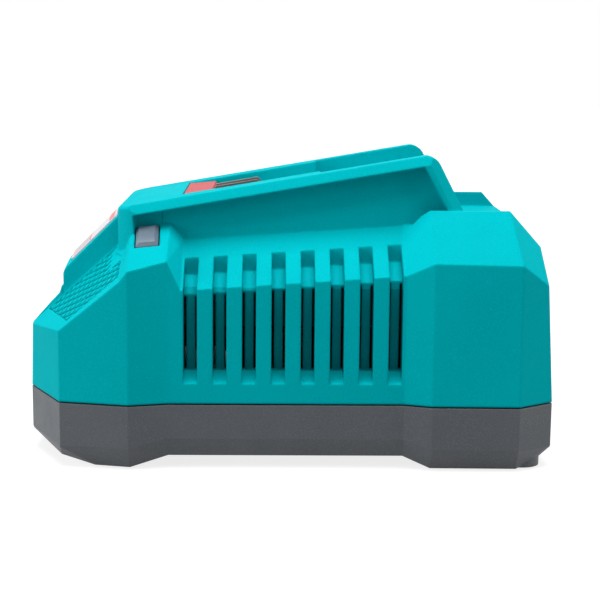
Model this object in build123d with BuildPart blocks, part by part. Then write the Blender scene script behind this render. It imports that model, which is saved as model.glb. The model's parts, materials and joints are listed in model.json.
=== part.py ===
from build123d import *
from collections import namedtuple
from math import atan, cos, radians, sqrt, tan
import os

os.makedirs("parts", exist_ok=True)

# A bench charger for slide-on tool batteries. +X runs from the label end (front) to the
# open end of the dock (rear), +Z is up and the floor is z = 0. The housings are symmetric
# about the XZ plane; the circuit inside is not.

# ---------------------------------------------------------------- driving dimensions (mm)
length = 170.0
width = 101.0
base_height = 21.6  # floor to the parting line
wall = 2.5
side_draft = tan(radians(1.1))
seam_gap = 0.5  # shadow line between the two housings
fit = 0.2  # clearance around a piece that seats in another

half_length = length / 2
half_width = width / 2
front_x = -half_length
rear_x = half_length

# Plan half widths at the parting line
front_flat_half = 21.3
front_crest_inset = 1.2
shoulder_corner_half = half_width - 5.5
panel_rear_half = half_width - 1.1
cheek_half = half_width - 0.5
waist_half = half_width - 3.5
rear_flat_half = half_width - 8.0

# Places of the housing's cross-sections along X
corner_x = front_x + 12.4
panel_rear_x = front_x + 32.1
cheek_x = front_x + 34.7
cheek_rear_x = front_x + 46.8
waist_front_x = front_x + 51.0
waist_rear_x = rear_x - 48.0
rear_cheek_x = rear_x - 39.3
rear_corner_x = rear_x - 11.7

# Heights above the parting line
panel_rise = 50.2  # inner edge of the grip panel at its rear end
panel_slope = 0.916
panel_side_fall = 0.39
cheek_crest_rise = 54.1
cheek_rear_crest_rise = 55.4
cheek_fall = 0.52  # fall of each shoulder per millimetre outward
waist_crest_rise = 50.1
waist_slope = 0.07
waist_fall = 0.715
rear_fall = 0.888
ridge_rise = 60.4
deck_rise = 55.5
ridge_half = 32.5
ridge_thickness = 2.0
front_lean = tan(radians(2.2))
rear_lean = tan(radians(3.8))
rear_roof_x = rear_x - 13.8  # where the sloping end of the ridges and deck begins
rear_roof_slope = 1.1
corner_facet_foot_rise = 39.0

# Grip panels: shallow recesses for a fine relief, beside the nose
grip_depth = 0.45
grip_margin = 0.6  # from the nose and the dock
grip_border = 4.9  # from the outer edges of the wedge

# Battery dock
rail_half = 31.4
rail_overhang = 4.4
rail_rise = 77.6  # rail tops above the parting line, at rail_rear_x
rail_rear_x = rear_x - 42.3
rail_slope = tan(radians(9.9))
rail_end_slope = 1.9
rail_end_reach = 4.6
rail_thickness = 3.4
rail_bevel_drop = 3.1
rail_bevel_inset = 1.6
dock_rise = 30.0  # lowest level of the dock's own walls
dock_front_x = front_x + 29.5
groove_front_x = front_x + 35.4
dock_corner_radius = 8.0
dock_top_radius = 1.5
rail_end_radius = 5.0
rib_drop = 8.6  # how far the dock's walls reach down inside, below its lowest level
dock_wall_half = rail_half - rail_overhang
channel_front_x = dock_front_x + 20.9
channel_half = 20.0
wide_channel_half = dock_wall_half - wall
channel_depth = 9.0
channel_step_x = rail_rear_x - 32.4

# Nose with the badge
nose_x = front_x + 11.0
nose_foot_rise = 20.0
nose_edge_rise = 38.7
nose_slope = 0.9875
nose_radius = 3.2
nose_crown = 1.6  # height of the nose's arched top over its edges
chin_proud = 1.5
chin_step = 2.6
chin_reach = 1.4
badge_half = 19.0
badge_length = 21.5
badge_thickness = 1.2
badge_recess = 0.8
badge_corner_radius = 1.4
badge_top_gap = 0.35  # from the badge to the foot of the dock

# Vents in the waist
vent_width = 4.4
vent_pitch = 9.27
vent_margin = 2.6  # from the ends of the waist to the first and last vent
vent_bottom_rise = 6.5
vent_depth = 5.4
vent_bar_thickness = 2.0
vent_slit = 0.8
vent_ramp_rise = 3.8
vent_end_half = 34.3
vent_end_drop = 5.4
vent_lip_drop = 5.3
waist_roof_drop = 8.3
waist_ledge_drop = 3.0
waist_roof_run = 9.5

# Lower housing
bevel_height = 7.4
bevel_width = 4.0
waist_bevel_height = 10.2
waist_bevel_width = 3.0
waist_lift = 3.5
end_wall = wall + 1.0
foot_pad = 0.6  # how far the feet hold the sole off the floor
sole_front_x = front_x + 23.3
front_bevel_lift = 0.4
front_sole_z = 6.6
front_sole_inset = 1.5
corner_bevel_drop = 0.4
corner_sole_z = 3.6
corner_sole_inset = 3.5
sole_front_inset = 2.6
rear_sole_lift = 2.8
rear_bevel_height = 6.8
rear_bevel_rise = 3.3
rear_bevel_run = 3.8
plinth_front_x = rear_x - 36.3
plinth_rear_x = rear_x - 3.0
plinth_height = 4.8
plinth_inset = 1.5
plinth_radius = 6.0
tongue_height = 2.4
tongue_thickness = 1.2
tongue_gap = 0.35
base_vent_width = 3.0
base_vent_length = 34.0
base_vent_pitch = 12.0
base_vent_count = 5

# Cord inlet, a bushed hole low in the rear wall
inlet_y = 18.0
inlet_z = base_height - 8.6
inlet_bore_radius = 3.4
inlet_radius = 5.0
inlet_flange_radius = 6.0
inlet_flange_thickness = 2.0
inlet_length = 9.0

# Status lenses, in the sloping tops of the front cheeks
lens_x = front_x + 39.7
lens_width = 7.3
lens_run = 11.0
lens_inset = 0.2  # from the dock's wall
lens_y = dock_wall_half + lens_run / 2 + lens_inset
lens_proud = 1.0
lens_chamfer = 1.1
lens_gap = 0.4
lens_catch = 0.6
lens_catch_gap = 0.8  # below the wall's underside
led_radius = 2.5
led_height = 2.6
led_inset = 2.5  # from the lens's centre, toward the dock
led_gap = 1.2  # from a lens's underside

# Terminals
block_length = 11.0
block_foot_run = 1.5
block_brow_run = 2.0
block_brow_drop = 0.9
block_stem_half = 17.0
stem_inset = 1.0
blade_thickness = 1.0
blade_reach = 26.9
blade_gap = 1.4  # below the rail tops and above the channel floor
blade_tail_inset = 3.0
blade_tail_width = 4.0
blade_tail_length = 1.2
blade_tip = 3.0
power_blade_y = 14.5
signal_blade_y = 5.0
slot_clearance = 0.05

# Fasteners and feet
boss_radius = 4.2
front_boss_run = 17.0  # from the front end, and inset from the side
front_boss_inset = 18.5
rear_boss_run = 10.5
rear_boss_inset = 19.5
screw_radius = 1.6
pilot_clearance = 0.05
through_clearance = 0.3
screw_head_radius = 3.4
screw_head_height = 2.4
counterbore_radius = 3.8
counterbore_wall = 1.3
counterbore_rise = 3.1  # of its seat, above the inside of the floor
boss_mate_drop = 9.6  # from the parting line to where the bosses meet
housing_screw_length = 20.0
small_screw_radius = 1.0
small_screw_length = 6.0
small_head_radius = 2.2
small_head_height = 1.5
hanger_radius = 2.8
front_hanger_run = 8.5
rear_hanger_run = 2.4
hanger_inset = 7.6
hanger_margin = 4.5
board_post_radius = 3.2
front_foot_inset = 13.5
rear_foot_run = 12.0
rear_foot_inset = 16.5
foot_radius = 5.0
foot_thickness = 1.8

# Circuit boards
board_thickness = 1.6
board_half_width = half_width - 15.5
board_front_x = front_x + 23.0
board_rear_x = rear_x - 18.0
board_chamfer = 4.0
board_stand = 7.5
board_post_inset = 7.0
board_post_margin = 8.0
upper_board_half = 23.0
upper_board_arm_reach = 33.0
board_arm_half = 4.3  # half the breadth of the arms that carry the lamps

# Places that follow from the sizes above
upper_bottom = base_height + seam_gap / 2
lower_top = base_height - seam_gap / 2
deck_z = base_height + deck_rise
ridge_z = base_height + ridge_rise
dock_low_z = base_height + dock_rise
sole_z = foot_pad
floor_z = sole_z + wall
board_z = floor_z + board_stand
board_top = board_z + board_thickness
counterbore_z = floor_z + counterbore_rise
boss_mate_z = base_height - boss_mate_drop
block_front_x = channel_front_x + fit
block_rear_x = block_front_x + block_length
stem_front_x = block_front_x + stem_inset
stem_rear_x = block_rear_x - stem_inset

beyond = 5.0  # how far a cutter reaches past the surface that it opens
upright = (Align.CENTER, Align.CENTER, Align.MIN)

front_boss = (front_x + front_boss_run, half_width - front_boss_inset)
rear_boss = (rear_x - rear_boss_run, half_width - rear_boss_inset)
front_hanger = (dock_front_x + front_hanger_run, dock_wall_half - hanger_inset)
rear_hanger = (channel_step_x + rear_hanger_run, dock_wall_half - hanger_inset)
front_foot = ((sole_front_x + cheek_x) / 2, half_width - front_foot_inset)
rear_foot = (rear_cheek_x + rear_foot_run, half_width - rear_foot_inset)
front_post = (board_front_x + board_post_margin, board_half_width - board_post_inset)
rear_post = (board_rear_x - board_post_margin, board_half_width - board_post_inset)


def both_sides(*places):
    """The given places and their mirror images."""
    return [(x, side * y) for x, y in places for side in (-1, 1)]


boss_places = both_sides(front_boss, rear_boss)
board_posts = both_sides(front_post, rear_post)
hanger_places = both_sides(front_hanger, rear_hanger)
foot_places = both_sides(front_foot, rear_foot)
blade_rows = (-power_blade_y, -signal_blade_y, signal_blade_y, power_blade_y)

Station = namedtuple("Station", "x foot edge_y edge_z crest_y crest_z")
Sole = namedtuple("Sole", "x rim bevel_z sole_y sole_z")


# ------------------------------------------------------------------------ shared geometry
def rail_z(x):
    """Height of the rail tops at x."""
    return base_height + rail_rise + rail_slope * (x - rail_rear_x)


def rail_end_x(z):
    """Rear end of the rails at height z."""
    drop = base_height + rail_rise - z
    return rail_rear_x + rail_end_reach + drop / rail_end_slope


rail_tip_x = rail_rear_x + rail_end_reach / (1 + rail_slope / rail_end_slope)


def panel_z(x, y):
    """Height of the sloping grip panels, which fall away to both sides."""
    rise = panel_rise + panel_slope * (x - panel_rear_x)
    return base_height + rise - panel_side_fall * max(0.0, abs(y) - front_flat_half)


def station(x, foot, edge_rise, crest_y, crest_rise):
    """One cross-section: a drafted side wall, a sloping shoulder and a flat top."""
    edge_y = foot - side_draft * edge_rise
    return Station(x, foot, edge_y, base_height + edge_rise, crest_y, base_height + crest_rise)


def falling_station(x, foot, crest_y, crest_rise, fall):
    """A cross-section whose shoulder falls evenly from its crest to the side wall."""
    edge_rise = (crest_rise - fall * (foot - crest_y)) / (1 - fall * side_draft)
    return station(x, foot, edge_rise, crest_y, crest_rise)


def panel_station(x, foot, crest_y, skin=0.0):
    """A cross-section in the front wedge, or of its hollow, a skin's depth lower."""
    edge_rise = panel_z(x, foot) - skin - base_height
    crest_rise = panel_z(x, 0) - skin - base_height
    return station(x, foot, edge_rise, crest_y, crest_rise)


def blend(first, second, x):
    """The cross-section at x on the straight line between two others."""
    share = (x - first.x) / (second.x - first.x)
    return type(first)(*[p + share * (q - p) for p, q in zip(first, second)])


def shoulder_slope(s):
    """Fall of the shoulder per millimetre outward."""
    return (s.crest_z - s.edge_z) / (s.edge_y - s.crest_y)


def symmetric_outline(x, half_outline):
    """Corners of a cross-section at x from those on its +Y side, bottom to top."""
    mirrored = [(-y, z) for y, z in reversed(half_outline)]
    return [Vector(x, y, z) for y, z in half_outline + mirrored]


def station_outline(s, bottom):
    """Outline of the upper housing at one station."""
    half_outline = [(s.foot, bottom), (s.edge_y, s.edge_z), (s.crest_y, s.crest_z)]
    return symmetric_outline(s.x, half_outline)


def polygon(*corners):
    """Flat face between corners."""
    return Face(Wire.make_polygon(corners))


def faceted_span(first, second):
    """Solid between two outlines; a side whose four corners aren't flat folds outward."""
    centre = (first[0] + first[-1] + second[0] + second[-1]) / 4 + Vector(0, 0, 1)
    sides = [polygon(*first), polygon(*second)]
    for a, b, c, d in zip(first, first[1:] + first[:1], second[1:] + second[:1], second):
        normal = (b - a).cross(c - a).normalized()
        lift = normal.dot(d - a)
        if abs(lift) < 1e-5:
            sides.append(polygon(a, b, c, d))
        elif lift * normal.dot(centre - a) > 0:
            sides.append(polygon(a, b, c))
            sides.append(polygon(a, c, d))
        else:
            sides.append(polygon(a, b, d))
            sides.append(polygon(b, c, d))
    return Solid(Shell(sides))


def faceted_body(outlines):
    """Body with flat facets through a row of outlines that have as many corners."""
    with BuildPart() as body:
        for first, second in zip(outlines, outlines[1:]):
            add(faceted_span(first, second))
    return body.part


def side_prism(points, half, inner=0.0):
    """An XZ outline extruded to both sides of the centre plane, or from inner to half."""
    with BuildPart() as prism:
        with BuildSketch(Plane.XZ):
            with BuildLine():
                Polyline(*points, close=True)
            make_face()
        if inner == 0.0:
            extrude(amount=half, both=True)
        else:
            extrude(amount=half)
            split(bisect_by=Plane.XZ.offset(inner), keep=Keep.TOP)
            mirror(about=Plane.XZ)
    return prism.part


def cross_prism(x, thickness, points):
    """A YZ outline extruded along X about x, on both sides of the housing."""
    with BuildPart() as prism:
        with BuildSketch(Plane.YZ.offset(x - thickness / 2)):
            with BuildLine():
                Polyline(*points, close=True)
            make_face()
        extrude(amount=thickness)
        mirror(about=Plane.XZ)
    return prism.part


def columns(places, radius, low, high):
    """Round posts at the given places."""
    with BuildPart() as posts:
        with Locations(*[(x, y, low) for x, y in places]):
            Cylinder(radius, high - low, align=upright)
    return posts.part


def plate(plane, size_x, size_y, low, high, radius=0.0):
    """Rectangular slab on a plane between two offsets, with rounded corners."""
    with BuildPart() as slab:
        with BuildSketch(plane.offset(low)):
            Rectangle(size_x, size_y)
            if radius:
                fillet(vertices(), radius=radius)
        extrude(amount=high - low)
    return slab.part


# -------------------------------------------------------------------- upper housing, outer
front_section = panel_station(front_x, front_flat_half, front_flat_half - front_crest_inset)
corner_section = panel_station(corner_x, shoulder_corner_half, front_flat_half)
panel_section = panel_station(panel_rear_x, panel_rear_half, front_flat_half)
cheek_section = falling_station(
    cheek_x, cheek_half, dock_wall_half, cheek_crest_rise, cheek_fall
)
cheek_rear_section = falling_station(
    cheek_rear_x, waist_half, dock_wall_half, cheek_rear_crest_rise, cheek_fall
)
waist_front_section = falling_station(
    waist_front_x, waist_half, dock_wall_half, waist_crest_rise, waist_fall
)
waist_rear_section = falling_station(
    waist_rear_x,
    waist_half,
    dock_wall_half,
    waist_crest_rise + waist_slope * (waist_rear_x - waist_front_x),
    waist_fall,
)
rear_cheek_section = falling_station(
    rear_cheek_x, cheek_half, ridge_half, ridge_rise, rear_fall
)
rear_corner_section = falling_station(
    rear_corner_x, half_width, ridge_half, ridge_rise, rear_fall
)
rear_section = falling_station(
    rear_x + fit, rear_flat_half, ridge_half, ridge_rise, rear_fall
)
body_sections = [
    front_section,
    corner_section,
    panel_section,
    cheek_section,
    cheek_rear_section,
    waist_front_section,
    waist_rear_section,
    rear_cheek_section,
    rear_corner_section,
    rear_section,
]

# The corner facets behind the rear cheeks pass through three points each: the end of the
# ridge, the end of the shoulder's lower edge and a point low on the rear wall's edge
facet_foot_x = rear_x - rear_lean * corner_facet_foot_rise
facet_top = Vector(rear_roof_x, ridge_half, ridge_z)
facet_side = Vector(rear_corner_x, rear_corner_section.edge_y, rear_corner_section.edge_z)
facet_rear = Vector(facet_foot_x, rear_flat_half, base_height + corner_facet_foot_rise)
facet_normal = (facet_rear - facet_top).cross(facet_side - facet_top).normalized()


def rear_roof(inset=0.0):
    """Plane that slopes down to the rear wall from the ends of the ridges and the deck."""
    normal = Vector(rear_roof_slope, 0, 1).normalized()
    return Plane(origin=Vector(rear_roof_x, 0, ridge_z) - normal * inset, z_dir=normal)


def corner_facet(side, inset=0.0):
    """Plane of the corner facet on one side (+1 or -1), moved inward by inset."""
    outward = 1 if facet_normal.X > 0 else -1
    normal = Vector(facet_normal.X, side * facet_normal.Y, facet_normal.Z) * outward
    point = Vector(facet_top.X, side * facet_top.Y, facet_top.Z) - normal * inset
    return Plane(origin=point, z_dir=normal)


def end_plane(x, direction, lean, inset=0.0):
    """Leaning end wall: outward normal along +X or -X, tilted up by its draft."""
    normal = Vector(direction, 0, lean).normalized()
    return Plane(origin=Vector(x, 0, base_height) - normal * inset, z_dir=normal)


def trimmed_body(sections, bottom, inset=0.0):
    """The lofted body, with its end walls and rear corner facets cut."""
    with BuildPart() as body:
        add(faceted_body([station_outline(s, bottom) for s in sections]))
        split(bisect_by=end_plane(rear_x, 1, rear_lean, inset), keep=Keep.BOTTOM)
        split(bisect_by=end_plane(front_x, -1, front_lean, inset), keep=Keep.BOTTOM)
        split(bisect_by=rear_roof(inset), keep=Keep.BOTTOM)
        split(bisect_by=corner_facet(1, inset), keep=Keep.BOTTOM)
        split(bisect_by=corner_facet(-1, inset), keep=Keep.BOTTOM)
    return body.part


def rail_bevel(side, point, along):
    """Plane that bevels one long edge of the dock, along a direction in XZ."""
    down = Vector(along.Z, 0, -along.X).normalized()
    slope = down * rail_bevel_drop + Vector(0, side * rail_bevel_inset, 0)
    normal = along.cross(slope).normalized()
    if normal.Y * side < 0:
        normal = normal * -1
    return Plane(origin=point, z_dir=normal)


rail_outline = [
    (dock_front_x, dock_low_z),
    (dock_front_x, rail_z(dock_front_x)),
    (rail_tip_x, rail_z(rail_tip_x)),
    (rail_end_x(dock_low_z), dock_low_z),
]
groove_rear_x = rail_tip_x - rail_thickness
groove_outline = [
    (groove_front_x, dock_low_z - beyond),
    (groove_front_x, rail_z(groove_front_x) - rail_thickness),
    (groove_rear_x, rail_z(groove_rear_x) - rail_thickness),
    (rail_end_x(dock_low_z - beyond) - rail_thickness, dock_low_z - beyond),
]

with BuildPart() as dock_body:
    with BuildSketch(Plane.XZ):
        with BuildLine():
            Polyline(*rail_outline, close=True)
        make_face()
        fillet(vertices().sort_by(Axis.Y)[-1], radius=rail_end_radius)
    extrude(amount=rail_half, both=True)
    fillet(edges().filter_by(Axis.Z).group_by(Axis.X)[0], radius=dock_corner_radius)
    # rounding the front edge rounds the tangent ones along both rails too
    rail_top = faces().filter_by(GeomType.PLANE).sort_by(Axis.Z)[-1]
    fillet(rail_top.edges().sort_by(Axis.X)[0], radius=dock_top_radius)
    for side in (-1, 1):
        bevel_y = side * (rail_half - rail_bevel_inset)
        top_point = Vector(rail_rear_x, bevel_y, rail_z(rail_rear_x))
        end_point = Vector(rail_end_x(deck_z), bevel_y, deck_z)
        split(bisect_by=rail_bevel(side, top_point, Vector(1, 0, rail_slope)), keep=Keep.BOTTOM)
        split(
            bisect_by=rail_bevel(side, end_point, Vector(1, 0, -rail_end_slope)),
            keep=Keep.BOTTOM,
        )
    add(side_prism(groove_outline, rail_half + beyond, dock_wall_half), mode=Mode.SUBTRACT)


def nose_z(x, depth=0.0):
    """Height of the nose's slope at x, or of its underside at a depth."""
    return base_height + nose_edge_rise + nose_slope * (x - nose_x) - depth


def arched_bar(x, z, slope, crown, offset=0.0):
    """Large round bar along a slope in XZ whose side arches over the nose's width."""
    radius = (front_flat_half**2 + crown**2) / (2 * crown)
    up = Vector(-slope, 0, 1).normalized()
    centre = Vector(x, 0, z) + up * (crown - radius)
    with BuildPart() as bar:
        with Locations(Plane(origin=centre, z_dir=(1, 0, slope))):
            Cylinder(radius + offset, length)
    return bar.part


# The nose and the chin below it are prisms whose sloping tops are arched across
nose_top_x = dock_front_x + fit
nose_low_z = base_height + nose_foot_rise
nose_lift = 2 * nose_crown
nose_outline = [
    (nose_x, nose_low_z),
    (nose_x, nose_z(nose_x) + nose_lift),
    (nose_top_x, nose_z(nose_top_x) + nose_lift),
    (nose_top_x, nose_low_z),
]
chin_front_x = front_x + chin_proud
chin_top_z = panel_z(nose_x, 0) + chin_step
chin_outline = [
    (chin_front_x, nose_low_z),
    (chin_front_x, panel_z(chin_front_x, 0)),
    (nose_x - chin_reach, panel_z(nose_x - chin_reach, 0) + chin_proud),
    (nose_x - chin_reach / 2, chin_top_z),
    (nose_x + wall, chin_top_z),
    (nose_x + wall, nose_low_z),
]

with BuildPart() as nose_body:
    add(side_prism(nose_outline, front_flat_half))
    add(arched_bar(nose_x, nose_z(nose_x), nose_slope, nose_crown), mode=Mode.INTERSECT)
    fillet(edges().group_by(Axis.X)[0].sort_by(Axis.Z)[-1], radius=nose_radius)
    add(side_prism(chin_outline, front_flat_half - grip_margin))


# -------------------------------------------------------------------- upper housing, hollow
def inner_section(s, roof=None):
    """The same cross-section a wall's thickness further in, under an optional flat roof."""
    slope = shoulder_slope(s)
    edge_y = s.edge_y - wall
    edge_z = s.edge_z + wall * slope - wall / cos(atan(slope))
    crest_z = s.crest_z - wall if roof is None else roof
    crest_y = edge_y - (crest_z - edge_z) / slope
    return Station(s.x, s.foot - wall, edge_y, edge_z, crest_y, crest_z)


def inner_waist_section(s):
    """Hollow in the waist, drawn in behind the vent bars and the vents' end faces."""
    half = s.edge_y - vent_depth - vent_bar_thickness
    ledge = s.edge_z - waist_ledge_drop
    return Station(s.x, half, half, ledge, half - waist_roof_run, s.crest_z - waist_roof_drop)


def inset_corner(before, corner, after):
    """Plan corner moved inward so that both of its walls keep their thickness."""
    first = Vector(corner.x - before.x, corner.foot - before.foot).normalized()
    second = Vector(after.x - corner.x, after.foot - corner.foot).normalized()
    normals = Vector(-first.Y - second.Y, first.X + second.X)
    move = normals * (-wall / (1 + first.dot(second)))
    return corner.x + move.X, corner.foot + move.Y


panel_skin = wall * sqrt(1 + panel_slope**2 + panel_side_fall**2)  # measured straight down
inner_crest = front_flat_half - wall
inner_corner_x, inner_corner_y = inset_corner(front_section, corner_section, panel_section)
wedge_slope = (shoulder_corner_half - front_flat_half) / (corner_x - front_x)
inner_front_x = front_x + wall / 2
inner_front_y = inner_corner_y - wedge_slope * (inner_corner_x - inner_front_x)
hollow_sections = [
    panel_station(inner_front_x, inner_front_y, inner_front_y - front_crest_inset, panel_skin),
    panel_station(inner_corner_x, inner_corner_y, inner_crest, panel_skin),
    panel_station(panel_rear_x, panel_rear_half - wall, inner_crest, panel_skin),
    inner_section(blend(cheek_section, cheek_rear_section, cheek_x + wall)),
    inner_section(blend(cheek_section, cheek_rear_section, cheek_rear_x - wall)),
    inner_waist_section(waist_front_section),
    inner_waist_section(waist_rear_section),
    inner_section(
        blend(rear_cheek_section, rear_corner_section, rear_cheek_x + wall), deck_z - wall
    ),
    inner_section(rear_corner_section, deck_z - wall),
    inner_section(rear_section, deck_z - wall),
]

# The hollow under the dock is high in front of the channel and low below its floor
hollow_step_x = channel_front_x - wall
roof_gap = channel_depth + wall
head_gap = wall + 3 * fit
dock_hollow = [
    (dock_front_x + wall, dock_low_z),
    (dock_front_x + wall, rail_z(dock_front_x + wall) - head_gap),
    (hollow_step_x, rail_z(hollow_step_x) - head_gap),
    (hollow_step_x, rail_z(hollow_step_x) - roof_gap),
    (rail_rear_x, rail_z(rail_rear_x) - roof_gap),
    (rail_end_x(dock_low_z) - 2 * wall, dock_low_z),
]
nose_skin = wall * sqrt(1 + nose_slope**2)
nose_hollow = [
    (nose_x + wall, base_height + nose_foot_rise),
    (nose_x + wall, nose_z(nose_x + wall, nose_skin)),
    (dock_front_x + wall, nose_z(dock_front_x + wall, nose_skin)),
    (dock_front_x + wall, base_height + nose_foot_rise),
]


# The dock's walls go on down inside as two ribs behind the vents
rib_front_x = lens_x + board_arm_half + lens_gap
rib_outline = [
    (rib_front_x, dock_low_z - rib_drop),
    (rib_front_x, rail_z(groove_front_x) - rail_thickness - wall),
    (rail_rear_x, rail_z(rail_rear_x) - roof_gap),
    (rail_end_x(dock_low_z) - 2 * wall, dock_low_z),
    (rail_end_x(dock_low_z) - 2 * wall, dock_low_z - rib_drop),
]


def grip_cutter(side):
    """What is taken off one grip panel: a shallow bed between the nose, dock and cheek."""
    near_nose = front_flat_half + grip_margin
    near_dock = dock_front_x - grip_margin
    beside_dock = dock_front_x + dock_corner_radius / 4
    outer_y = panel_rear_half - grip_border
    corner_y = shoulder_corner_half - grip_border / 2
    bed = [
        (nose_x - grip_border, near_nose),
        (near_dock, near_nose),
        (near_dock, rail_half - dock_corner_radius + wall),
        (beside_dock, rail_half + grip_margin),
        (beside_dock, outer_y),
        (corner_x + grip_border / 2, corner_y),
    ]
    origin = Vector(panel_rear_x, side * front_flat_half, panel_z(panel_rear_x, 0) - grip_depth)
    slope = Plane(origin=origin, z_dir=(-panel_slope, side * panel_side_fall, 1))
    with BuildPart() as cutter:
        with BuildSketch(Plane.XY.offset(base_height)):
            with BuildLine():
                Polyline(*[(x, side * y) for x, y in bed], close=True)
            make_face()
        extrude(amount=length)
        split(bisect_by=slope, keep=Keep.TOP)
    return cutter.part


def channel_outline(start_x):
    """XZ outline of the battery channel from start_x to behind the housing."""
    end_x = rear_x + beyond
    return [
        (start_x, rail_z(start_x) - channel_depth),
        (start_x, rail_z(start_x) + beyond),
        (end_x, rail_z(end_x) + beyond),
        (end_x, rail_z(end_x) - channel_depth),
    ]


# ------------------------------------------------------------------- upper housing, vents
def vent_positions():
    """Centres of the vents, as many as the waist has room for."""
    span = waist_rear_x - waist_front_x - 2 * vent_margin
    count = int(span / vent_pitch) + 1
    start = (waist_front_x + waist_rear_x - (count - 1) * vent_pitch) / 2
    return [start + vent_pitch * k for k in range(count)]


with BuildPart() as vent_cutter:
    for x in vent_positions():
        s = blend(waist_front_section, waist_rear_section, x)
        end_top = s.edge_z + shoulder_slope(s) * (s.edge_y - vent_end_half)
        lip_top = end_top - vent_end_drop
        lip_bottom = lip_top - vent_lip_drop
        bar_y = s.edge_y - vent_depth
        mouth_z = base_height + vent_bottom_rise
        ramp_z = mouth_z + vent_ramp_rise
        pocket = [
            (half_width + beyond, mouth_z),
            (half_width + beyond, end_top + beyond),
            (vent_end_half, end_top + beyond),
            (vent_end_half, lip_top),
            (bar_y, lip_bottom),
            (bar_y, ramp_z),
            (s.foot, mouth_z),
        ]
        slit = [
            (bar_y + wall, ramp_z),
            (bar_y + wall, lip_bottom - vent_slit),
            (bar_y - vent_bar_thickness - wall, lip_bottom - vent_slit),
            (bar_y - vent_bar_thickness - wall, ramp_z),
        ]
        add(cross_prism(x, vent_width, pocket))
        for side in (-1, 1):
            slit_x = x + side * (vent_width - vent_slit) / 2
            add(cross_prism(slit_x, vent_slit, slit))


# ---------------------------------------------------------------- seats of what it carries
badge_run = badge_length / sqrt(1 + nose_slope**2)
badge_x = dock_front_x - badge_top_gap - badge_run / 2
badge_plane = Plane(
    origin=(badge_x, 0, nose_z(badge_x)),
    x_dir=(1, 0, nose_slope),
    z_dir=Vector(-nose_slope, 0, 1).normalized(),
)


def badge_blank(margin, top):
    """Arched plate in the badge's place, from its bed to top, wider all round by a margin."""
    with BuildPart() as blank:
        add(
            plate(
                badge_plane,
                badge_length + 2 * margin,
                2 * (badge_half + margin),
                -beyond,
                2 * beyond,
                badge_corner_radius + margin,
            )
        )
        add(arched_bar(badge_x, nose_z(badge_x), nose_slope, nose_crown, top), mode=Mode.INTERSECT)
        add(
            arched_bar(badge_x, nose_z(badge_x), nose_slope, nose_crown, -badge_recess),
            mode=Mode.SUBTRACT,
        )
    return blank.part


def cheek_height(x):
    """Height of the front cheek's sloping top, on the lens's line."""
    s = blend(cheek_section, cheek_rear_section, x)
    return s.edge_z + shoulder_slope(s) * (s.edge_y - lens_y)


def lens_plane(side):
    """The cheek's sloping top at the lens, with local x along the housing."""
    lens_station = blend(cheek_section, cheek_rear_section, lens_x)
    rise = cheek_height(lens_x + 1) - cheek_height(lens_x)
    fall = shoulder_slope(lens_station)
    return Plane(
        origin=(lens_x, side * lens_y, cheek_height(lens_x)),
        x_dir=(1, 0, rise),
        z_dir=Vector(-rise, side * fall, 1).normalized(),
    )


def rim_ring(outer_inset, inner_inset, low, high):
    """Upright ring that follows the parting line between two insets."""
    half_plan = [(s.x, s.foot) for s in body_sections]
    plan = half_plan + [(x, -y) for x, y in reversed(half_plan)]
    with BuildPart() as ring:
        for inset, mode in ((outer_inset, Mode.ADD), (inner_inset, Mode.SUBTRACT)):
            with BuildSketch(Plane.XY.offset(low)):
                with BuildLine():
                    Polyline(*plan, close=True)
                make_face()
                offset(amount=-inset, kind=Kind.INTERSECTION)
            extrude(amount=high - low, mode=mode)
    return ring.part


tongue_inset = wall + tongue_gap
tongue_inner_inset = tongue_inset + tongue_thickness
outer_body = trimmed_body(body_sections, upper_bottom)

# The terminal board hangs just low enough for its lamps to clear the lenses
lens_depth = wall + lens_catch_gap + lens_catch
lens_underside_z = cheek_height(lens_x) - lens_depth * sqrt(1 + cheek_fall**2)
upper_board_top = lens_underside_z - led_gap - led_height
upper_board_z = upper_board_top - board_thickness
stem_x = (stem_front_x + stem_rear_x) / 2

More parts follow.
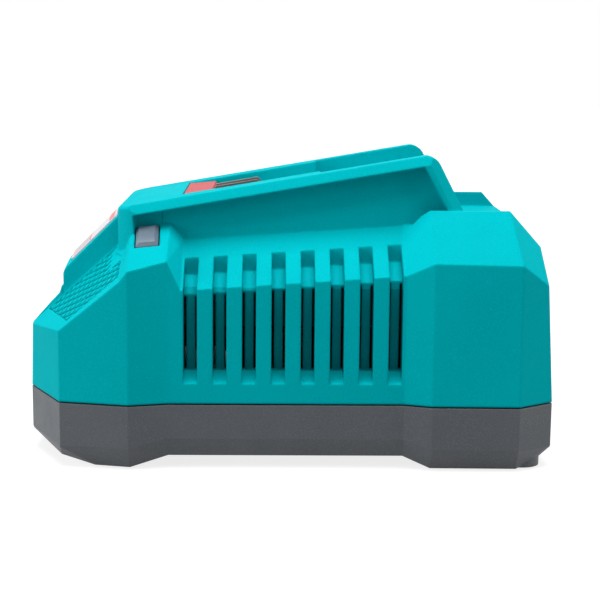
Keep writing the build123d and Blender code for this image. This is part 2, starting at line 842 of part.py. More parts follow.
with BuildPart() as upper_housing:
    add(outer_body)
    # deck between the rear cheeks
    with Locations((waist_rear_x, 0, deck_z)):
        Box(
            length,
            2 * (ridge_half - ridge_thickness),
            length,
            align=(Align.MIN, Align.CENTER, Align.MIN),
            mode=Mode.SUBTRACT,
        )
    add(dock_body.part)
    add(nose_body.part)
    add(side_prism(channel_outline(channel_front_x), channel_half), mode=Mode.SUBTRACT)
    add(side_prism(channel_outline(channel_step_x), wide_channel_half), mode=Mode.SUBTRACT)
    # hollow inside
    add(trimmed_body(hollow_sections, upper_bottom, wall), mode=Mode.SUBTRACT)
    add(side_prism(dock_hollow, dock_wall_half - wall), mode=Mode.SUBTRACT)
    add(side_prism(nose_hollow, front_flat_half - wall), mode=Mode.SUBTRACT)
    add(side_prism(rib_outline, dock_wall_half, dock_wall_half - wall))
    add(vent_cutter.part, mode=Mode.SUBTRACT)
    # rebate for the lower housing's tongue
    add(
        rim_ring(wall, tongue_inner_inset + tongue_gap, 0, upper_bottom + tongue_height + fit),
        mode=Mode.SUBTRACT,
    )
    # bosses for the housing screws
    add(columns(boss_places, boss_radius, upper_bottom, deck_z) & outer_body)
    add(columns(boss_places, boss_radius, boss_mate_z, upper_bottom + beyond))
    add(
        columns(
            boss_places,
            screw_radius + pilot_clearance,
            boss_mate_z,
            counterbore_z + housing_screw_length + fit,
        ),
        mode=Mode.SUBTRACT,
    )
    # beds of the grip panels, which also take the tops of the front bosses down
    add(grip_cutter(1), mode=Mode.SUBTRACT)
    add(grip_cutter(-1), mode=Mode.SUBTRACT)
    # hangers for the terminal board
    for x, y in hanger_places:
        roof_z = rail_z(x) - (head_gap if x < hollow_step_x else roof_gap)
        add(columns([(x, y)], hanger_radius, upper_board_top, roof_z + wall / 2))
    add(
        columns(
            hanger_places,
            small_screw_radius + pilot_clearance,
            upper_board_top,
            upper_board_z + small_screw_length + fit,
        ),
        mode=Mode.SUBTRACT,
    )
    # opening for the terminal block's stem
    with Locations((stem_x, 0, rail_z(stem_x) - channel_depth)):
        Box(
            stem_rear_x - stem_front_x + 2 * fit,
            2 * (block_stem_half + fit),
            4 * wall,
            mode=Mode.SUBTRACT,
        )
    # seats of the badge and the lenses
    add(badge_blank(fit, beyond), mode=Mode.SUBTRACT)
    for side in (-1, 1):
        add(
            plate(
                lens_plane(side),
                lens_width + 2 * lens_gap,
                lens_run + 2 * lens_gap,
                -2 * wall,
                beyond,
            ),
            mode=Mode.SUBTRACT,
        )

with BuildPart() as badge_plate:
    add(badge_blank(0.0, badge_thickness - badge_recess))


# -------------------------------------------------------------------------- lower housing
sole_front_half = cheek_half - sole_front_inset
sole_sections = [
    Sole(
        front_x,
        front_flat_half,
        bevel_height + front_bevel_lift,
        front_flat_half - front_sole_inset,
        front_sole_z,
    ),
    Sole(
        corner_x,
        shoulder_corner_half,
        bevel_height - corner_bevel_drop,
        shoulder_corner_half - corner_sole_inset,
        corner_sole_z,
    ),
    Sole(sole_front_x, sole_front_half, bevel_height, sole_front_half - bevel_width, sole_z),
    Sole(cheek_x, cheek_half, bevel_height, cheek_half - bevel_width, sole_z),
    Sole(
        cheek_rear_x,
        waist_half,
        waist_bevel_height,
        waist_half - waist_bevel_width,
        sole_z + waist_lift,
    ),
    Sole(
        waist_rear_x,
        waist_half,
        waist_bevel_height,
        waist_half - waist_bevel_width,
        sole_z + waist_lift,
    ),
    Sole(rear_cheek_x, cheek_half, bevel_height, cheek_half - bevel_width, sole_z),
    Sole(rear_corner_x, half_width, bevel_height, half_width - bevel_width, sole_z),
    Sole(
        rear_x,
        rear_flat_half,
        bevel_height,
        rear_flat_half - bevel_width,
        sole_z + rear_sole_lift,
    ),
]


def sole_outline(s, top, inset=0.0):
    """Outline of the lower housing at one section, moved inward by inset."""
    bevel_angle = atan((s.bevel_z - s.sole_z) / (s.rim - s.sole_y))
    half_outline = [
        (s.sole_y - inset * tan(bevel_angle / 2), s.sole_z + inset),
        (s.rim - inset, s.bevel_z + inset * tan(radians(45) - bevel_angle / 2)),
        (s.rim - inset, top),
    ]
    return symmetric_outline(s.x, half_outline)


# Inside, the end walls stand a little further in, to clear the sloping underside
inner_soles = (
    [blend(sole_sections[0], sole_sections[1], front_x + end_wall)]
    + sole_sections[1:-1]
    + [blend(sole_sections[-2], sole_sections[-1], rear_x - end_wall)]
)
rear_bevel = Plane(
    origin=(rear_x, 0, rear_bevel_height),
    z_dir=Vector(rear_bevel_rise, 0, -rear_bevel_run).normalized(),
)
plinth_half = half_width - bevel_width - plinth_inset

with BuildPart() as base_body:
    add(faceted_body([sole_outline(s, lower_top) for s in sole_sections]))
    split(bisect_by=rear_bevel, keep=Keep.BOTTOM)
    with BuildSketch(Plane.XY.offset(sole_z)):
        with Locations(((plinth_front_x + plinth_rear_x) / 2, 0)):
            Rectangle(plinth_rear_x - plinth_front_x, 2 * plinth_half)
        fillet(vertices(), radius=plinth_radius)
    extrude(amount=plinth_height)

lower_boss_radius = counterbore_radius + counterbore_wall
boss_solids = columns(boss_places, lower_boss_radius, 0, boss_mate_z) & base_body.part

with BuildPart() as lower_housing:
    add(base_body.part)
    add(
        faceted_body([sole_outline(s, lower_top + beyond, wall) for s in inner_soles]),
        mode=Mode.SUBTRACT,
    )
    # lip and tongue that locate the upper housing
    add(rim_ring(wall / 2, tongue_inner_inset, lower_top - tongue_thickness, lower_top))
    add(rim_ring(tongue_inset, tongue_inner_inset, lower_top, lower_top + tongue_height))
    # bosses for the housing screws, posts for the main board
    add(boss_solids)
    add(columns(boss_places, counterbore_radius, 0, counterbore_z), mode=Mode.SUBTRACT)
    add(
        columns(boss_places, screw_radius + through_clearance, 0, boss_mate_z + fit),
        mode=Mode.SUBTRACT,
    )
    add(columns(board_posts, board_post_radius, floor_z - wall / 2, board_z))
    add(
        columns(
            board_posts,
            small_screw_radius + pilot_clearance,
            board_top - small_screw_length - fit,
            board_z,
        ),
        mode=Mode.SUBTRACT,
    )
    # pockets for the feet
    add(columns(foot_places, foot_radius + fit, 0, foot_thickness), mode=Mode.SUBTRACT)
    # hole for the inlet bush
    with Locations(Plane(origin=(rear_x, inlet_y, inlet_z), z_dir=(1, 0, 0))):
        Cylinder(inlet_radius + fit / 2, 4 * end_wall, mode=Mode.SUBTRACT)
    # air slots in the raised middle of the floor
    with BuildSketch(Plane.XY):
        with GridLocations(base_vent_pitch, 1, base_vent_count, 1):
            Rectangle(base_vent_width, base_vent_length)
    extrude(amount=board_z, mode=Mode.SUBTRACT)

inlet_plane = Plane(origin=(rear_x - inlet_length, inlet_y, inlet_z), z_dir=(1, 0, 0))
with BuildPart() as cord_inlet_bush:
    with BuildSketch(inlet_plane):
        Circle(inlet_radius)
        Circle(inlet_bore_radius, mode=Mode.SUBTRACT)
    extrude(amount=inlet_length)
    flange_offset = inlet_length - end_wall - fit / 2 - inlet_flange_thickness
    with BuildSketch(inlet_plane.offset(flange_offset)):
        Circle(inlet_flange_radius)
        Circle(inlet_bore_radius, mode=Mode.SUBTRACT)
    extrude(amount=inlet_flange_thickness)

with BuildPart() as rubber_feet:
    add(columns(foot_places, foot_radius, 0, foot_thickness))


# --------------------------------------------------------------------------- status lights
def status_lens(side):
    """Translucent window with bevelled edges and two catches behind the wall."""
    plane = lens_plane(side)
    catch_low = -lens_depth
    with BuildPart() as lens:
        add(plate(plane, lens_width, lens_run, catch_low, lens_proud))
        top_face = faces().sort_by(Axis(plane.origin, plane.z_dir))[-1]
        chamfer(top_face.edges(), length=lens_chamfer)
        add(
            plate(
                plane,
                lens_width / 2,
                lens_run + 2 * (lens_gap + lens_catch),
                catch_low,
                catch_low + lens_catch,
            )
        )
    return lens.part


def status_led(side):
    """Domed lamp under a lens, standing on the terminal board."""
    with BuildPart() as led:
        with Locations((lens_x, side * (lens_y - led_inset), upper_board_top)):
            Cylinder(led_radius, led_height, align=upright)
        chamfer(edges().group_by(Axis.Z)[-1], length=led_radius / 3)
    return led.part


with BuildPart() as status_lens_left:
    add(status_lens(1))

with BuildPart() as status_lens_right:
    add(status_lens(-1))

with BuildPart() as status_led_left:
    add(status_led(1))

with BuildPart() as status_led_right:
    add(status_led(-1))


# ------------------------------------------------------------------------------- terminals
def blade(y, clearance=0.0):
    """L-shaped plate: a long blade over the channel floor and a tail through its board."""
    root_x = block_front_x + blade_tail_inset - clearance
    tail_x = root_x + blade_tail_width + 2 * clearance
    rear = block_front_x + blade_reach + clearance
    top_gap = blade_gap - clearance
    floor_gap = channel_depth - blade_gap + clearance
    low_z = upper_board_z - blade_tail_length
    points = [
        (root_x, low_z),
        (root_x, rail_z(root_x) - top_gap - blade_tip / 2),
        (root_x + blade_tip / 2, rail_z(root_x + blade_tip / 2) - top_gap),
        (rear - blade_tip, rail_z(rear - blade_tip) - top_gap),
        (rear, rail_z(rear) - top_gap - blade_tip),
        (rear, rail_z(rear) - floor_gap),
        (tail_x, rail_z(tail_x) - floor_gap),
        (tail_x, low_z),
    ]
    with BuildPart() as leaf:
        with BuildSketch(Plane.XZ.offset(-y)):
            with BuildLine():
                Polyline(*points, close=True)
            make_face()
        extrude(amount=blade_thickness / 2 + clearance, both=True)
    return leaf.part


def block_floor_z(x):
    """Underside of the terminal block's head, just above the channel floor."""
    return rail_z(x) - channel_depth + fit


block_heel_x = block_rear_x + block_foot_run
block_brow_x = block_rear_x - block_brow_run
block_outline = [
    (block_front_x, block_floor_z(block_front_x)),
    (block_front_x, rail_z(block_front_x) - fit),
    (block_brow_x, rail_z(block_brow_x) - block_brow_drop),
    (block_heel_x, block_floor_z(block_heel_x)),
]

with BuildPart() as terminal_block:
    add(side_prism(block_outline, channel_half - fit))
    with Locations((stem_x, 0, upper_board_top)):
        Box(
            stem_rear_x - stem_front_x,
            2 * block_stem_half,
            block_floor_z(stem_rear_x) + 1.0 - upper_board_top,
            align=upright,
        )
    for y in blade_rows:
        add(blade(y, slot_clearance), mode=Mode.SUBTRACT)

with BuildPart() as positive_blade:
    add(blade(power_blade_y))

with BuildPart() as negative_blade:
    add(blade(-power_blade_y))

with BuildPart() as signal_blades:
    add(blade(signal_blade_y))
    add(blade(-signal_blade_y))

upper_board_front_x = front_hanger[0] - hanger_margin
upper_board_rear_x = rear_hanger[0] + hanger_margin
with BuildPart() as terminal_board:
    with BuildSketch(Plane.XY.offset(upper_board_z)):
        with Locations(((upper_board_front_x + upper_board_rear_x) / 2, 0)):
            Rectangle(upper_board_rear_x - upper_board_front_x, 2 * upper_board_half)
        with Locations((lens_x, 0)):
            Rectangle(2 * board_arm_half, 2 * upper_board_arm_reach)
        with Locations(*hanger_places):
            Circle(small_screw_radius + through_clearance, mode=Mode.SUBTRACT)
    extrude(amount=board_thickness)
    for y in blade_rows:
        add(blade(y, slot_clearance), mode=Mode.SUBTRACT)


# ------------------------------------------------------------------------------ main board
with BuildPart() as main_board:
    with BuildSketch(Plane.XY.offset(board_z)):
        with Locations(((board_front_x + board_rear_x) / 2, 0)):
            Rectangle(board_rear_x - board_front_x, 2 * board_half_width)
        chamfer(vertices(), length=board_chamfer)
        with Locations(*board_posts):
            Circle(small_screw_radius + through_clearance, mode=Mode.SUBTRACT)
    extrude(amount=board_thickness)

# Transformer: a double window core around a wound bobbin
core_offset = 4.5  # toward the front, from the middle of the board
core_x = (board_front_x + board_rear_x) / 2 - core_offset
core_length = 34.0
core_height = 28.0
core_width = 12.0
core_limb = 8.0
core_leg_radius = 4.5
core_stand = 2.0
core_z = board_top + core_stand
window_height = core_height - core_limb
winding_radius = 12.3
coil_inset = 1.2
bobbin_flange = 1.4
pin_rail_length = 16.0
pin_rail_width = 5.6
pin_rail_y = 9.2
bobbin_z = core_z + core_limb / 2 + fit
bobbin_height = window_height - 2 * fit

with BuildPart() as transformer_core:
    with Locations((core_x, 0, core_z)):
        Box(core_length, core_width, core_height, align=upright)
    with Locations((core_x, 0, core_z + core_limb / 2)):
        Box(
            core_length - core_limb,
            core_width,
            window_height,
            align=upright,
            mode=Mode.SUBTRACT,
        )
        Cylinder(core_leg_radius, window_height, align=upright)

with BuildPart() as transformer_winding:
    with Locations((core_x, 0, bobbin_z)):
        Cylinder(winding_radius - coil_inset, bobbin_height, align=upright)
        Cylinder(winding_radius, bobbin_flange, align=upright)
    with Locations((core_x, 0, bobbin_z + bobbin_height - bobbin_flange)):
        Cylinder(winding_radius, bobbin_flange, align=upright)
    with Locations((core_x, pin_rail_y, board_top), (core_x, -pin_rail_y, board_top)):
        Box(
            pin_rail_length,
            pin_rail_width,
            bobbin_z + bobbin_flange - board_top,
            align=upright,
        )
    with Locations((core_x, 0, board_top)):
        Cylinder(core_leg_radius + fit, core_height, align=upright, mode=Mode.SUBTRACT)


sink_plate = 2.4
sink_fin_depth = 6.4
sink_fin_thickness = 1.4
sink_fin_stand = 1.0
sink_inset = 9.0  # from the edge of the board
sink_y = board_half_width - sink_inset


def heat_sink(x, side, size_x, height, fins):
    """Upright extrusion: a back plate with a row of fins along its outer side."""
    y = side * sink_y
    fin_y = y + side * (sink_plate + sink_fin_depth) / 2
    pitch = (size_x - sink_fin_thickness) / (fins - 1)
    with BuildPart() as sink:
        with Locations((x, y, board_top)):
            Box(size_x, sink_plate, height, align=upright)
        with Locations((x, fin_y, board_top + sink_fin_stand)):
            with GridLocations(pitch, 1, fins, 1):
                Box(
                    sink_fin_thickness,
                    sink_fin_depth,
                    height - sink_fin_stand,
                    align=upright,
                )
    return sink.part


package_width = 10.0
package_depth = 4.4
package_height = 9.2
package_stand = 4.0
package_tab = 1.3
package_tab_height = 6.4
package_gap = 0.05  # to the heat sink
package_leg_pitch = 2.54
package_leg_width = 0.9
package_leg_depth = 0.6


def power_package(x, side):
    """Flat three-legged package standing against the inner side of a heat sink."""
    face_y = side * (sink_y - sink_plate / 2 - package_gap)
    middle_y = face_y - side * package_depth / 2
    tab_z = board_top + package_stand
    with BuildPart() as package:
        with Locations((x, middle_y, tab_z)):
            Box(package_width, package_depth, package_height, align=upright)
        with Locations((x, face_y - side * package_tab / 2, tab_z)):
            Box(package_width, package_tab, package_height + package_tab_height, align=upright)
        with Locations((x, middle_y, board_top)):
            with GridLocations(package_leg_pitch, 1, 3, 1):
                Box(package_leg_width, package_leg_depth, package_stand + fit, align=upright)
    return package.part


def toroid(x, y, outer, inner, thickness):
    """Wound ring that stands on its edge."""
    with BuildPart() as ring:
        with BuildSketch(Plane(origin=(x, y, board_top + outer), z_dir=(1, 0, 0))):
            Circle(outer)
            Circle(inner, mode=Mode.SUBTRACT)
        extrude(amount=thickness / 2, both=True)
    return ring.part


primary_sink_x = board_rear_x - 37.0
primary_sink_length = 30.0
primary_sink_height = 26.0
primary_sink_fins = 7
output_sink_x = board_front_x + 30.0
output_sink_length = 26.0
output_sink_height = 24.0
output_sink_fins = 6

with BuildPart() as primary_heat_sink:
    add(
        heat_sink(
            primary_sink_x, 1, primary_sink_length, primary_sink_height, primary_sink_fins
        )
    )

with BuildPart() as switching_transistor:
    add(power_package(primary_sink_x, 1))

with BuildPart() as output_heat_sink:
    add(heat_sink(output_sink_x, -1, output_sink_length, output_sink_height, output_sink_fins))

with BuildPart() as output_rectifier:
    add(power_package(output_sink_x, -1))

bulk_x = board_rear_x - 41.0
bulk_y = -14.5
bulk_radius = 9.0
bulk_height = 31.5
with BuildPart() as bulk_capacitor:
    add(columns([(bulk_x, bulk_y)], bulk_radius, board_top, board_top + bulk_height))

output_can_x = board_front_x + 18.0
output_can_y = 4.0  # the middle one of three
output_can_pitch = 12.0
output_can_radius = 5.0
output_can_height = 20.0
with BuildPart() as output_capacitors:
    with Locations((output_can_x, output_can_y, board_top)):
        with GridLocations(1, output_can_pitch, 1, 3):
            Cylinder(output_can_radius, output_can_height, align=upright)

ring_radius = 9.0
ring_bore_radius = 4.0
inductor_x = board_front_x + 31.0
inductor_clearance = 20.0  # from the output heat sink
inductor_thickness = 7.0
with BuildPart() as output_inductor:
    add(
        toroid(
            inductor_x,
            inductor_clearance - sink_y,
            ring_radius,
            ring_bore_radius,
            inductor_thickness,
        )
    )

choke_x = board_rear_x - 11.0
choke_y = -14.0
choke_thickness = 8.0
with BuildPart() as common_mode_choke:
    add(toroid(choke_x, choke_y, ring_radius, ring_bore_radius, choke_thickness))

film_x = board_rear_x - 13.0
film_y = 2.0
film_length = 18.0
film_width = 8.0
film_height = 14.0
with BuildPart() as suppression_capacitor:
    with Locations((film_x, film_y, board_top)):
        Box(film_length, film_width, film_height, align=upright)

bridge_x = board_rear_x - 27.0
bridge_y = -2.0
bridge_thickness = 3.6
bridge_width = 18.0
bridge_height = 14.0
bridge_stand = 3.0
bridge_notch = 2.5
bridge_leg_pitch = 4.2
bridge_leg_depth = 0.8
bridge_leg_width = 1.0
with BuildPart() as bridge_rectifier:
    with Locations((bridge_x, bridge_y, board_top + bridge_stand)):
        Box(bridge_thickness, bridge_width, bridge_height, align=upright)
    top_edges = edges().filter_by(Axis.X).group_by(Axis.Z)[-1]
    chamfer(top_edges.sort_by(Axis.Y)[-1], length=bridge_notch)
    with Locations((bridge_x, bridge_y, board_top)):
        with GridLocations(1, bridge_leg_pitch, 1, 4):
            Box(bridge_leg_depth, bridge_leg_width, bridge_stand + fit, align=upright)

fuse_x = board_rear_x - 21.5
fuse_y = 12.8
fuse_radius = 2.6
fuse_glass_radius = 2.4
fuse_length = 20.0
fuse_stand = 0.6
cap_length = 5.0
clip_length = 3.0
clip_width = 4.2
clip_height = 2.0
fuse_z = board_top + fuse_radius + fuse_stand
with BuildPart() as mains_fuse:
    with BuildSketch(Plane(origin=(fuse_x, fuse_y, fuse_z), z_dir=(1, 0, 0))):
        Circle(fuse_glass_radius)
    extrude(amount=fuse_length / 2, both=True)
    for side in (-1, 1):
        cap_x = fuse_x + side * (fuse_length - cap_length) / 2
        with BuildSketch(Plane(origin=(cap_x, fuse_y, fuse_z), z_dir=(1, 0, 0))):
            Circle(fuse_radius)
        extrude(amount=cap_length / 2, both=True)
        with Locations((cap_x, fuse_y, board_top)):
            Box(clip_length, clip_width, clip_height, align=upright)

connector_x = board_rear_x - 6.0
connector_y = 19.0
connector_length = 9.0
connector_width = 10.0
connector_height = 11.0
entry_pitch = 4.8
entry_width = 3.6
entry_height = 5.0
entry_inset = 3.0
entry_rise = 6.0
with BuildPart() as mains_connector:
    with Locations((connector_x, connector_y, board_top)):
        Box(connector_length, connector_width, connector_height, align=upright)
    with Locations((connector_x + entry_inset, connector_y, board_top + entry_rise)):
        with GridLocations(1, entry_pitch, 1, 2):
            Box(beyond, entry_width, entry_height, mode=Mode.SUBTRACT)


lead_radius = 1.3
lead_foot_x = core_x - 22.0
lead_foot_y = 14.0
lead_head_x = core_x - 15.0
lead_head_y = 9.5
lead_rise = 15.0  # straight run at both ends


def lead(side):
    """Insulated lead from the main board up to the terminal board."""
    foot = Vector(lead_foot_x, side * lead_foot_y, board_top)
    head = Vector(lead_head_x, side * lead_head_y, upper_board_z)
    rise = Vector(0, 0, lead_rise)
    with BuildPart() as wire:
        with BuildLine() as path:
            Polyline(foot, foot + rise, head - rise, head)
        with BuildSketch(Plane(origin=foot, z_dir=(0, 0, 1))):
            Circle(lead_radius)
        sweep(path=path.wires()[0], transition=Transition.RIGHT)
    return wire.part


with BuildPart() as positive_lead:
    add(lead(1))

with BuildPart() as negative_lead:
    add(lead(-1))


# ------------------------------------------------------------------------------- fasteners
def screws(places, seat_z, direction, shank, radius, head_radius, head_height):
    """Pan-head screws seated at seat_z, with shanks that run up (+1) or down (-1)."""
    shank_z = seat_z if direction > 0 else seat_z - shank
    head_z = seat_z - head_height if direction > 0 else seat_z
    with BuildPart() as group:
        add(columns(places, radius, shank_z, shank_z + shank))
        add(columns(places, head_radius, head_z, head_z + head_height))
    return group.part


with BuildPart() as housing_screws:
    add(
        screws(
            boss_places,
            counterbore_z,
            1,
            housing_screw_length,
            screw_radius,
            screw_head_radius,
            screw_head_height,
        )
    )

with BuildPart() as main_board_screws:
    add(
        screws(
            board_posts,
            board_top,
            -1,
            small_screw_length,
            small_screw_radius,
            small_head_radius,
            small_head_height,
        )
    )

with BuildPart() as terminal_board_screws:
    add(
        screws(
            hanger_places,
            upper_board_z,
            1,
            small_screw_length,
            small_screw_radius,
            small_head_radius,
            small_head_height,
        )
    )


# --------------------------------------------------------------------------------- export
upper_housing.part.label = "upper_housing"
lower_housing.part.label = "lower_housing"
badge_plate.part.label = "badge_plate"
status_lens_left.part.label = "status_lens_left"
status_lens_right.part.label = "status_lens_right"
status_led_left.part.label = "status_led_left"
status_led_right.part.label = "status_led_right"
terminal_block.part.label = "terminal_block"
positive_blade.part.label = "positive_blade"
negative_blade.part.label = "negative_blade"
signal_blades.part.label = "signal_blades"
terminal_board.part.label = "terminal_board"
terminal_board_screws.part.label = "terminal_board_screws"
cord_inlet_bush.part.label = "cord_inlet_bush"
rubber_feet.part.label = "rubber_feet"
housing_screws.part.label = "housing_screws"
main_board.part.label = "main_board"
main_board_screws.part.label = "main_board_screws"
transformer_core.part.label = "transformer_core"
transformer_winding.part.label = "transformer_winding"
primary_heat_sink.part.label = "primary_heat_sink"
switching_transistor.part.label = "switching_transistor"
output_heat_sink.part.label = "output_heat_sink"
output_rectifier.part.label = "output_rectifier"
bulk_capacitor.part.label = "bulk_capacitor"
output_capacitors.part.label = "output_capacitors"
output_inductor.part.label = "output_inductor"
common_mode_choke.part.label = "common_mode_choke"
suppression_capacitor.part.label = "suppression_capacitor"
bridge_rectifier.part.label = "bridge_rectifier"
mains_fuse.part.label = "mains_fuse"
mains_connector.part.label = "mains_connector"
positive_lead.part.label = "positive_lead"
negative_lead.part.label = "negative_lead"

export_step(upper_housing.part, "parts/upper_housing.step")
export_step(lower_housing.part, "parts/lower_housing.step")
export_step(badge_plate.part, "parts/badge_plate.step")
export_step(status_lens_left.part, "parts/status_lens_left.step")
export_step(status_lens_right.part, "parts/status_lens_right.step")
export_step(status_led_left.part, "parts/status_led_left.step")
export_step(status_led_right.part, "parts/status_led_right.step")
export_step(terminal_block.part, "parts/terminal_block.step")
export_step(positive_blade.part, "parts/positive_blade.step")
export_step(negative_blade.part, "parts/negative_blade.step")
export_step(signal_blades.part, "parts/signal_blades.step")
export_step(terminal_board.part, "parts/terminal_board.step")
export_step(terminal_board_screws.part, "parts/terminal_board_screws.step")
export_step(cord_inlet_bush.part, "parts/cord_inlet_bush.step")
export_step(rubber_feet.part, "parts/rubber_feet.step")
export_step(housing_screws.part, "parts/housing_screws.step")
export_step(main_board.part, "parts/main_board.step")
export_step(main_board_screws.part, "parts/main_board_screws.step")
export_step(transformer_core.part, "parts/transformer_core.step")
export_step(transformer_winding.part, "parts/transformer_winding.step")
export_step(primary_heat_sink.part, "parts/primary_heat_sink.step")
export_step(switching_transistor.part, "parts/switching_transistor.step")
export_step(output_heat_sink.part, "parts/output_heat_sink.step")
export_step(output_rectifier.part, "parts/output_rectifier.step")
export_step(bulk_capacitor.part, "parts/bulk_capacitor.step")
export_step(output_capacitors.part, "parts/output_capacitors.step")
export_step(output_inductor.part, "parts/output_inductor.step")
export_step(common_mode_choke.part, "parts/common_mode_choke.step")
export_step(suppression_capacitor.part, "parts/suppression_capacitor.step")
export_step(bridge_rectifier.part, "parts/bridge_rectifier.step")
export_step(mains_fuse.part, "parts/mains_fuse.step")
export_step(mains_connector.part, "parts/mains_connector.step")
export_step(positive_lead.part, "parts/positive_lead.step")
export_step(negative_lead.part, "parts/negative_lead.step")
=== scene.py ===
import json
import math

import bmesh
import bpy
from mathutils import Matrix, Vector


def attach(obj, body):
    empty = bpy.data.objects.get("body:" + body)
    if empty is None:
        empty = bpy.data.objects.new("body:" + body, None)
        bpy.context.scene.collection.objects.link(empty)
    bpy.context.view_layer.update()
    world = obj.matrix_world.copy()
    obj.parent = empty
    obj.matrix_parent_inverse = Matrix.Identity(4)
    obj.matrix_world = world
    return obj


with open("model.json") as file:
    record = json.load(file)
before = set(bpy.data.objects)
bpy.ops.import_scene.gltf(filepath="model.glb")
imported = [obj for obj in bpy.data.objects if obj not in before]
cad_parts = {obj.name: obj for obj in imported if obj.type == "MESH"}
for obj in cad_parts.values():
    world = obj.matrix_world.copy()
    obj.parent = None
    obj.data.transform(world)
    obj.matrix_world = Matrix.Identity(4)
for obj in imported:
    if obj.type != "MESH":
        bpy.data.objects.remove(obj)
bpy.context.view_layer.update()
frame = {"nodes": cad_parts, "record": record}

MM = 0.001
BODY = "root"
WHITE = (1.0, 1.0, 1.0, 1.0)

# ------------------------------------------------------------------------------- camera
IMAGE_SIZE = 600
FOCAL_PIXELS = 1411.0
SENSOR = 36.0
CLIP_START = 10.0 * MM
CAMERA_YAW = math.radians(1.2)
CAMERA_PITCH = math.radians(10.0)
CAMERA_ROLL = math.radians(0.55)
CAMERA_PLACE = Vector((-5.554, -482.11, 132.13)) * MM


def make_camera():
    """A product camera, turned a little to the right and tilted down."""
    data = bpy.data.cameras.new("camera")
    data.sensor_width = SENSOR
    data.lens = SENSOR * FOCAL_PIXELS / IMAGE_SIZE
    data.clip_start = CLIP_START
    camera = bpy.data.objects.new("camera", data)
    bpy.context.scene.collection.objects.link(camera)
    forward = Vector((
        math.sin(CAMERA_YAW) * math.cos(CAMERA_PITCH),
        math.cos(CAMERA_YAW) * math.cos(CAMERA_PITCH),
        -math.sin(CAMERA_PITCH),
    ))
    level = Vector((math.cos(CAMERA_YAW), -math.sin(CAMERA_YAW), 0))
    upward = level.cross(forward)
    right = level * math.cos(CAMERA_ROLL) + upward * math.sin(CAMERA_ROLL)
    up = upward * math.cos(CAMERA_ROLL) - level * math.sin(CAMERA_ROLL)
    turn = Matrix((right, up, -forward)).transposed().to_4x4()
    camera.matrix_world = Matrix.Translation(CAMERA_PLACE) @ turn
    bpy.context.scene.camera = camera


# ------------------------------------------------------------------------------- colours
def linear(red, green, blue):
    """An sRGB colour from 0 to 255 as Blender's linear RGBA."""
    channels = []
    for value in (red, green, blue):
        share = value / 255
        if share <= 0.04045:
            channels.append(share / 12.92)
        else:
            channels.append(((share + 0.055) / 1.055) ** 2.4)
    return (*channels, 1.0)


TEAL = linear(0, 176, 185)
TEAL_DEEP = linear(0, 171, 180)
TEAL_SPECK = linear(0, 184, 193)
TEAL_SHEEN = linear(0, 236, 244)
# Painted shade: dark teal painted on the deep faces of the vent slots, standing in for their
# shadow
TEAL_PAINTED_SHADE = linear(0, 80, 86)
GREY = linear(68, 73, 79)
GREY_DEEP = linear(62, 67, 72)
GREY_SPECK = linear(81, 86, 92)
RED = linear(184, 98, 101)
RED_DEEP = linear(178, 91, 94)
RED_SHEEN = linear(255, 170, 170)
LENS = linear(104, 120, 136)
LENS_PALE = linear(128, 142, 158)
LABEL = linear(196, 192, 197)
LABEL_SHADE = linear(172, 166, 172)
LABEL_BAND = linear(196, 92, 98)
MASK = linear(20, 92, 48)
MASK_PALE = linear(26, 104, 56)


# ------------------------------------------------------------------------- material tools
class Graph:
    """The nodes of a material or a world under construction."""

    def __init__(self, tree):
        self.nodes = tree.nodes
        self.links = tree.links

    def join(self, output, target):
        self.links.new(output, target)

    def stretch(self, value, low, high, new_low=0.0, new_high=1.0):
        """The value's range from low to high, moved to a new range."""
        node = self.nodes.new("ShaderNodeMapRange")
        self.join(value, node.inputs["Value"])
        for name, number in zip(
            ("From Min", "From Max", "To Min", "To Max"), (low, high, new_low, new_high)
        ):
            node.inputs[name].default_value = number
        return node.outputs["Result"]

    def both(self, first, second, operation="MULTIPLY"):
        """Two values made one."""
        node = self.nodes.new("ShaderNodeMath")
        node.operation = operation
        self.join(first, node.inputs[0])
        self.join(second, node.inputs[1])
        return node.outputs["Value"]

    def seen_directly(self):
        """1 for camera, glossy and transmission rays, 0 for the rest."""
        rays = self.nodes.new("ShaderNodeLightPath")
        total = rays.outputs["Is Camera Ray"]
        for name in ("Is Glossy Ray", "Is Transmission Ray"):
            total = self.both(total, rays.outputs[name], "MAXIMUM")
        return total


NOISE_ROUGHNESS = 0.6

# Middle part of a noise's values, which is stretched to the whole range
NOISE_LOW = 0.3
NOISE_HIGH = 0.7

EDGE_SAMPLES = 8
BAND_SOFTNESS = 0.08 * MM


